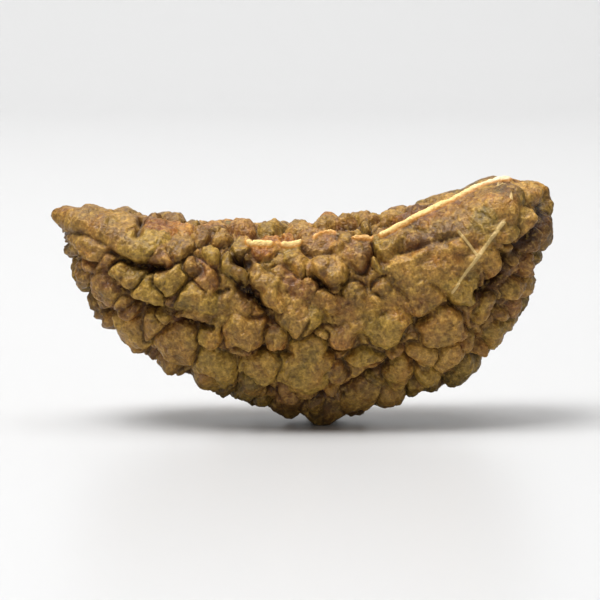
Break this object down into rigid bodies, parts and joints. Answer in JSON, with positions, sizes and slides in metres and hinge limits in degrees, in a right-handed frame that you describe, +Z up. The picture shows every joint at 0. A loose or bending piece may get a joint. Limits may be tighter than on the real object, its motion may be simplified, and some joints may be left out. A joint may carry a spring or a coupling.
{
  "type": "rudraksha bead",
  "caption": "Cashew-shaped rudraksha seed bead with a raised face line and a knobbly surface, standing on a small flat spot; for stringing, setting or display.",
  "frame": {"origin": "middle of the small flat spot on the lowest knob, on which the bead stands", "axes": "+X along the bead from the pointed beak to the round lobe, +Y through its thickness away from the front, +Z up, concave side up"},
  "size_m": [0.0306, 0.0121, 0.0153],
  "materials": {
    "seed_stone": "hard dry seed stone, brown with dark creases, rubbed with a little oil, softly shining on the knobs"
  },
  "bodies": {
    "root": {"bead": "seed_stone"}
  },
  "joints": []
}
